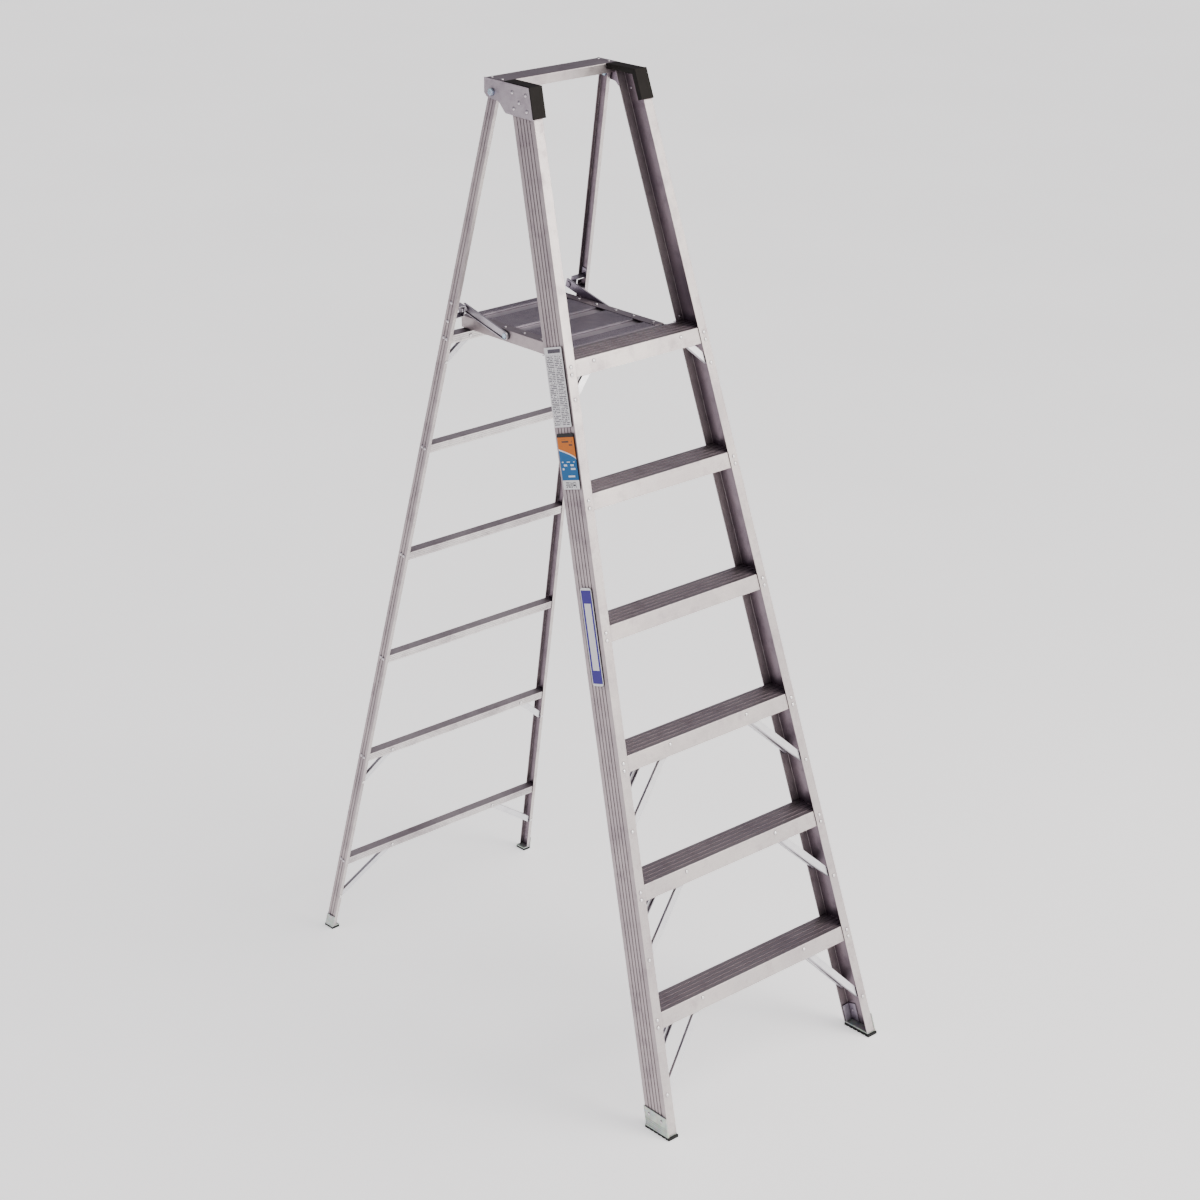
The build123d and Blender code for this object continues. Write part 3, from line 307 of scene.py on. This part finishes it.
# ---- Braces, links and brackets ----------------------------------------------------------------
# Pressed strip with turned edges, brighter than the extrusions, with a slight blue cast from its
# plating. Knee braces carry the steps; the links and their boxed brackets tie the platform.
strip_finish = bare_metal("strip_finish", (0.7, 0, 0.7), (0.84, 0.84, 0.86), (0.70, 0.70, 0.73),
                          (0.42, 0.41, 0.47), 0.26, 0.44, 0.35)
dress(strip_finish, *[name for name in nodes if name.endswith("_braces")], "link_left", "link_right",
      "link_bracket_left", "link_bracket_right", "hinge_bracket_left", "hinge_bracket_right",
      "rail_angles", "foot_brackets")
dress(bare_metal("gusset_metal", (0, 1, 0), (0.72, 0.69, 0.70), (0.58, 0.55, 0.58), stain=0.6),
      "gusset_left", "gusset_right")


# ---- Zinc plated boots and bolts -----------------------------------------------------------------
# Steel pressings with a pale green-grey passivated zinc, and the bolts with the brighter blue kind.
def plated(name, bright, dark, low, high):
    """Zinc plate with its small spangled patches."""
    material, tree, shader = new_material(name)
    coords = tree.nodes.new("ShaderNodeTexCoord").outputs["Object"]
    cells = tree.nodes.new("ShaderNodeTexVoronoi")
    cells.inputs["Scale"].default_value = 190
    tree.links.new(coords, cells.inputs["Vector"])
    haze = noise(tree, coords, 60, 5, 0.65)
    plate = ramp(tree, haze, [(0.32, dark), (0.66, bright)])
    spangle = mix(tree, 0.18, plate, cells.outputs["Color"], "SOFT_LIGHT")
    tree.links.new(spangle, shader.inputs["Base Color"])
    shader.inputs["Metallic"].default_value = 0.8
    tree.links.new(span(tree, haze, 0.3, 0.7, low, high), shader.inputs["Roughness"])
    bump(tree, shader, haze, 0.2, 0.0002)
    return material


dress(plated("boot_zinc", (0.62, 0.68, 0.62), (0.40, 0.44, 0.41), 0.34, 0.52),
      "front_boot_left", "front_boot_right", "rear_shoe_left", "rear_shoe_right")
dress(plated("bolt_zinc", (0.55, 0.68, 0.82), (0.30, 0.37, 0.47), 0.18, 0.34),
      "pivot_bolts", "hinge_pins", "link_pins")


# ---- Soles and corner covers ---------------------------------------------------------------------
# Black rubber under all four feet, and a black moulded cover over each top front corner.
def moulded(name, bright, dark, low, high, scale, relief):
    """Dark moulded plastic or rubber with a fine texture and scuffs."""
    material, tree, shader = new_material(name)
    coords = tree.nodes.new("ShaderNodeTexCoord").outputs["Object"]
    texture = noise(tree, coords, scale, 4, 0.6)
    scuff = noise(tree, coords, 45, 6, 0.7)
    tone = mix(tree, ramp(tree, scuff, [(0.55, (0, 0, 0)), (0.8, (0.6,) * 3)]), dark, bright)
    tree.links.new(tone, shader.inputs["Base Color"])
    tree.links.new(span(tree, scuff, 0.3, 0.75, low, high), shader.inputs["Roughness"])
    shader.inputs["Specular IOR Level"].default_value = 0.12
    bump(tree, shader, texture, 0.35, relief)
    return material


dress(moulded("cover_plastic", (0.030, 0.026, 0.024), (0.010, 0.008, 0.007), 0.50, 0.68, 1400, 0.0002),
      "corner_cover_left", "corner_cover_right")
dress(moulded("sole_rubber", (0.075, 0.072, 0.070), (0.018, 0.018, 0.019), 0.62, 0.85, 700, 0.0004),
      *[name for name in nodes if "_pad_" in name])


# ---- Rivets --------------------------------------------------------------------------------------
# Solid aluminium rivets through every joint: a low dome outside, a smaller set tail behind. Each
# CAD rivet gives its own place, direction and grip.
def rivet_places(node):
    """(seat, direction, grip, head radius, tail radius) of each separate rivet in a node."""
    mesh = nodes[node].data
    points = np.array([v.co[:] for v in mesh.vertices])
    keys = np.round(points * 1e6).astype(np.int64)
    _, merged = np.unique(keys, axis=0, return_inverse=True)
    merged = merged.reshape(-1)
    parent = list(range(merged.max() + 1))

    def root(i):
        while parent[i] != i:
            parent[i] = parent[parent[i]]
            i = parent[i]
        return i

    faces = [[merged[i] for i in face.vertices] for face in mesh.polygons]
    for face in faces:
        for other in face[1:]:
            parent[root(other)] = root(face[0])
    groups = {}
    for index, face in enumerate(faces):
        groups.setdefault(root(face[0]), []).append(index)
    found = []
    for members in groups.values():
        spread = np.zeros((3, 3))
        used = set()
        for index in members:
            face = mesh.polygons[index]
            normal = np.array(face.normal[:])
            spread += face.area * np.outer(normal, normal)
            used.update(face.vertices)
        values, vectors = np.linalg.eigh(spread)
        odd = 0 if abs(values[0] - values[1]) > abs(values[1] - values[2]) else 2
        axis = vectors[:, odd]
        cloud = points[sorted(used)]
        middle = (cloud.max(0) + cloud.min(0)) / 2
        centre = cloud.mean(0)
        height = (cloud - centre) @ axis
        radius = np.linalg.norm((cloud - centre) - np.outer(height, axis), axis=1)
        if radius[height > np.median(height)].max() < radius[height <= np.median(height)].max():
            axis, height = -axis, -height
        seats = height[radius > radius.max() - 2e-4]
        foot = height.min()
        tail = radius[height < foot + 2e-4].max()
        seat = Vector(centre + axis * seats.min())
        found.append((seat, Vector(axis), seats.min() - foot, radius.max(), tail))
    return found


rivet_metal = bare_metal("rivet_metal", (0, 0, 1), (0.90, 0.89, 0.88), (0.80, 0.78, 0.78),
                         low=0.22, high=0.36, stain=0.2)


def rivet_tree():
    """Node tree: a dome on every point, turned along its stored direction."""
    group = bpy.data.node_groups.new("rivet_domes", "GeometryNodeTree")
    face = group.interface
    face.new_socket("Geometry", in_out="INPUT", socket_type="NodeSocketGeometry")
    for name, value in (("Radius", 0.0046), ("Height", 0.0022)):
        face.new_socket(name, in_out="INPUT", socket_type="NodeSocketFloat").default_value = value
    face.new_socket("Finish", in_out="INPUT", socket_type="NodeSocketMaterial")
    face.new_socket("Geometry", in_out="OUTPUT", socket_type="NodeSocketGeometry")
    make = group.nodes.new
    link = group.links.new
    given = make("NodeGroupInput")
    out = make("NodeGroupOutput")
    ball = make("GeometryNodeMeshUVSphere")
    ball.inputs["Segments"].default_value = 16
    ball.inputs["Rings"].default_value = 10
    ball.inputs["Radius"].default_value = 1.0
    size = make("ShaderNodeCombineXYZ")
    shaped = make("GeometryNodeTransform")
    direction = make("GeometryNodeInputNamedAttribute")
    direction.data_type = "FLOAT_VECTOR"
    direction.inputs["Name"].default_value = "direction"
    turned = make("FunctionNodeAlignRotationToVector")
    turned.axis = "Z"
    copies = make("GeometryNodeInstanceOnPoints")
    real = make("GeometryNodeRealizeInstances")
    finish = make("GeometryNodeSetMaterial")
    for axis in ("X", "Y"):
        link(given.outputs["Radius"], size.inputs[axis])
    link(given.outputs["Height"], size.inputs["Z"])
    link(ball.outputs["Mesh"], shaped.inputs["Geometry"])
    link(size.outputs[0], shaped.inputs["Scale"])
    link(direction.outputs["Attribute"], turned.inputs["Vector"])
    link(given.outputs["Geometry"], copies.inputs["Points"])
    link(shaped.outputs["Geometry"], copies.inputs["Instance"])
    link(turned.outputs[0], copies.inputs["Rotation"])
    link(copies.outputs[0], real.inputs[0])
    link(real.outputs[0], finish.inputs["Geometry"])
    link(given.outputs["Finish"], finish.inputs["Material"])
    link(finish.outputs[0], out.inputs[0])
    return group


dome_tree = rivet_tree()


def domes(name, places, radius, height):
    """A plain mesh of domes at (seat, direction) places."""
    mesh = bpy.data.meshes.new(name)
    mesh.from_pydata([seat for seat, _ in places], [], [])
    stored = mesh.attributes.new("direction", "FLOAT_VECTOR", "POINT")
    stored.data.foreach_set("vector", [c for _, way in places for c in way])
    source = bpy.data.objects.new(name + "_points", mesh)
    bpy.context.collection.objects.link(source)
    modifier = source.modifiers.new("domes", "NODES")
    modifier.node_group = dome_tree
    sockets = {item.name: item.identifier for item in dome_tree.interface.items_tree
               if item.in_out == "INPUT"}
    modifier[sockets["Radius"]] = radius
    modifier[sockets["Height"]] = height
    modifier[sockets["Finish"]] = rivet_metal
    shown = source.evaluated_get(bpy.context.evaluated_depsgraph_get())
    result = bpy.data.meshes.new_from_object(shown)
    bpy.data.objects.remove(source)
    return result


def joined(name, meshes, material):
    """Several plain meshes as one piece at the origin."""
    points, faces = [], []
    for mesh in meshes:
        start = len(points)
        points += [v.co[:] for v in mesh.vertices]
        faces += [[start + i for i in face.vertices] for face in mesh.polygons]
    mesh = bpy.data.meshes.new(name)
    mesh.from_pydata(points, [], faces)
    mesh.materials.append(material)
    mesh.polygons.foreach_set("use_smooth", [True] * len(mesh.polygons))
    piece = bpy.data.objects.new(name, mesh)
    bpy.context.collection.objects.link(piece)
    return piece


head_height, tail_height = 0.0022, 0.0016
for node, body in (("step_rivets", "front_frame"), ("brace_rivets", "front_frame"),
                   ("frame_rivets", "front_frame"), ("rear_rivets", "rear_frame"),
                   ("deck_rivets", "platform")):
    found = rivet_places(node)
    heads = domes(node + "_heads", [(seat, way) for seat, way, _, _, _ in found], found[0][3], head_height)
    tails = domes(node + "_tails",
                  [(seat - way * (grip - tail_height), -way) for seat, way, grip, _, _ in found],
                  found[0][4], tail_height)
    piece = joined(node.replace("rivets", "rivet_domes"), [heads, tails], rivet_metal)
    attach(piece, body)
    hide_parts(node)

# ---- Labels on the left rail ---------------------------------------------------------------------
# Printed vinyl stuck over the grooves of the outer web: a white notice, a two-colour size label
# and a plain badge. They carry bars and blocks in place of print.
def web_plane(node, side):
    """(outward, along, across, outer, front) of a rail's web: directions and plane offsets."""
    mesh = nodes[node].data
    total = Vector((0, 0, 0))
    for face in mesh.polygons:
        if face.normal.x * side > 0.99:
            total += face.normal * face.area
    outward = total.normalized()
    along = along_of(node)
    across = outward.cross(along)
    across = across if across.y > 0 else -across
    points = [v.co for v in mesh.vertices]
    return outward, along, across, max(p.dot(outward) for p in points), min(p.dot(across) for p in points)


web = web_plane("front_rail_left", -1)


def on_rail(n, height, lift):
    """A point over the outer web, n metres straight back from a height on its front edge."""
    outward, along, across, outer, front = web
    edge = outward * (outer + lift) + across * front
    return edge + along * ((height - edge.z) / along.z) + across * n


def sticker(name, n0, n1, low, high, corner, material):
    """A thin vinyl label with rounded corners and its own 0 to 1 map."""
    outline = []
    for cx, cy, start in ((1, 1, 0), (0, 1, 90), (0, 0, 180), (1, 0, 270)):
        for step in range(7):
            angle = math.radians(start + step * 15)
            x = (n1 - n0 - 2 * corner) * cx + corner + corner * math.cos(angle)
            y = (high - low - 2 * corner) * cy + corner + corner * math.sin(angle)
            outline.append((x, y))
    mesh = bpy.data.meshes.new(name)
    film = 0.00015
    top = [on_rail(n0 + x, low + y, film * 2) for x, y in outline]
    bottom = [on_rail(n0 + x, low + y, film) for x, y in outline]
    count = len(outline)
    faces = [tuple(range(count)), tuple(range(2 * count - 1, count - 1, -1))]
    faces += [(i, i + count, (i + 1) % count + count, (i + 1) % count) for i in range(count)]
    mesh.from_pydata(top + bottom, [], faces)
    layer = mesh.uv_layers.new(name="print")
    for loop in mesh.loops:
        x, y = outline[loop.vertex_index % count]
        layer.data[loop.index].uv = (x / (n1 - n0), y / (high - low))
    mesh.validate()
    if mesh.polygons[0].normal.dot(web[0]) < 0:
        mesh.flip_normals()
    mesh.materials.append(material)
    piece = bpy.data.objects.new(name, mesh)
    bpy.context.collection.objects.link(piece)
    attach(piece, "front_frame")
    return piece


def vinyl(name):
    """Printed film: its shader and the label's own map split into x and y."""
    material, tree, shader = new_material(name)
    uv = tree.nodes.new("ShaderNodeUVMap")
    uv.uv_map = "print"
    parts = tree.nodes.new("ShaderNodeSeparateXYZ")
    tree.links.new(uv.outputs[0], parts.inputs[0])
    shader.inputs["Roughness"].default_value = 0.45
    shader.inputs["Specular IOR Level"].default_value = 0.2
    film = noise(tree, tree.nodes.new("ShaderNodeTexCoord").outputs["Object"], 350, 3)
    bump(tree, shader, film, 0.12, 0.0001)
    return material, tree, shader, uv.outputs[0], parts.outputs["X"], parts.outputs["Y"]


def between(tree, value, low, high):
    """One where a value lies between two limits."""
    return math_node(tree, "MULTIPLY", math_node(tree, "GREATER_THAN", value, low),
                     math_node(tree, "LESS_THAN", value, high))


def broken_rows(tree, uv, rows, along, fill, seed):
    """One on short bars set in rows, like print seen from far off."""
    cells = tree.nodes.new("ShaderNodeMapping")
    cells.inputs["Scale"].default_value = (along, rows, 1)
    cells.inputs["Location"].default_value = (seed, 0, 0)
    tree.links.new(uv, cells.inputs["Vector"])
    split = tree.nodes.new("ShaderNodeSeparateXYZ")
    tree.links.new(cells.outputs[0], split.inputs[0])
    row = math_node(tree, "FLOOR", split.outputs["Y"])
    thick = between(tree, math_node(tree, "FRACT", split.outputs["Y"]), 0.25, 0.75)
    word = tree.nodes.new("ShaderNodeTexWhiteNoise")
    word.noise_dimensions = "2D"
    pair = tree.nodes.new("ShaderNodeCombineXYZ")
    tree.links.new(math_node(tree, "FLOOR", split.outputs["X"]), pair.inputs["X"])
    tree.links.new(row, pair.inputs["Y"])
    tree.links.new(pair.outputs[0], word.inputs["Vector"])
    return math_node(tree, "MULTIPLY", thick, math_node(tree, "LESS_THAN", word.outputs["Value"], fill))


# The notice: dark heading bands and two columns of grey bars on white.
notice, tree, shader, uv, x, y = vinyl("notice_print")
bars = broken_rows(tree, uv, 46, 22, 0.72, 3.0)
inside = math_node(tree, "MULTIPLY", between(tree, x, 0.06, 0.94), between(tree, y, 0.02, 0.90))
gutter = math_node(tree, "SUBTRACT", 1.0, between(tree, x, 0.48, 0.53))
ink = math_node(tree, "MULTIPLY", bars, math_node(tree, "MULTIPLY", inside, gutter))
heading = math_node(tree, "MULTIPLY", between(tree, y, 0.925, 0.975), between(tree, x, 0.08, 0.80))
ink = math_node(tree, "MAXIMUM", ink, heading)
tree.links.new(mix(tree, ink, (0.80, 0.79, 0.79), (0.10, 0.09, 0.11)), shader.inputs["Base Color"])
sticker("notice_label", 0.0075, 0.0695, 1.611, 1.786, 0.003, notice)

# The size label: a black band, an orange field over a blue one along a curve, and a white block of
# upright bars at the foot.
colours, tree, shader, uv, x, y = vinyl("colour_print")
curve = math_node(tree, "ADD", math_node(tree, "MULTIPLY", math_node(tree, "POWER", x, 0.7), 0.17), 0.545)
blue = (0.012, 0.13, 0.33)
field = mix(tree, math_node(tree, "GREATER_THAN", y, curve), blue, (0.62, 0.17, 0.02))
edge = between(tree, math_node(tree, "SUBTRACT", y, curve), -0.012, 0.012)
field = mix(tree, edge, field, (0.80, 0.80, 0.80))
marks = math_node(tree, "MULTIPLY", broken_rows(tree, uv, 15, 5, 0.45, 7.0),
                  math_node(tree, "MULTIPLY", between(tree, x, 0.12, 0.9), between(tree, y, 0.22, 0.50)))
field = mix(tree, marks, field, (0.72, 0.78, 0.84))
dark = math_node(tree, "MULTIPLY", broken_rows(tree, uv, 17, 6, 0.55, 1.0),
                 math_node(tree, "MULTIPLY", between(tree, x, 0.12, 0.75), between(tree, y, 0.76, 0.90)))
field = mix(tree, dark, field, (0.09, 0.06, 0.04))
field = mix(tree, math_node(tree, "GREATER_THAN", y, 0.935), field, (0.02, 0.02, 0.022))
field = mix(tree, math_node(tree, "LESS_THAN", y, 0.165), field, (0.80, 0.80, 0.80))
code_area = math_node(tree, "MULTIPLY", between(tree, x, 0.2, 0.82), between(tree, y, 0.03, 0.135))
stripes = math_node(tree, "LESS_THAN", noise(tree, uv, 34, 0), 0.5)
field = mix(tree, math_node(tree, "MULTIPLY", stripes, code_area), field, (0.05, 0.05, 0.055))
tree.links.new(field, shader.inputs["Base Color"])
sticker("colour_label", 0.007, 0.0655, 1.474, 1.597, 0.003, colours)

# The badge: a plain violet panel with a pale field, and nothing printed on it.
badge, tree, shader, uv, x, y = vinyl("badge_print")
field = math_node(tree, "MULTIPLY", between(tree, x, 0.22, 0.78), between(tree, y, 0.16, 0.84))
edge = math_node(tree, "MULTIPLY", between(tree, x, 0.06, 0.94), between(tree, y, 0.025, 0.975))
tone = mix(tree, edge, (0.80, 0.80, 0.80), (0.055, 0.035, 0.27))
tree.links.new(mix(tree, field, tone, (0.80, 0.80, 0.80)), shader.inputs["Base Color"])
sticker("badge_label", 0.017, 0.057, 1.036, 1.256, 0.008, badge)
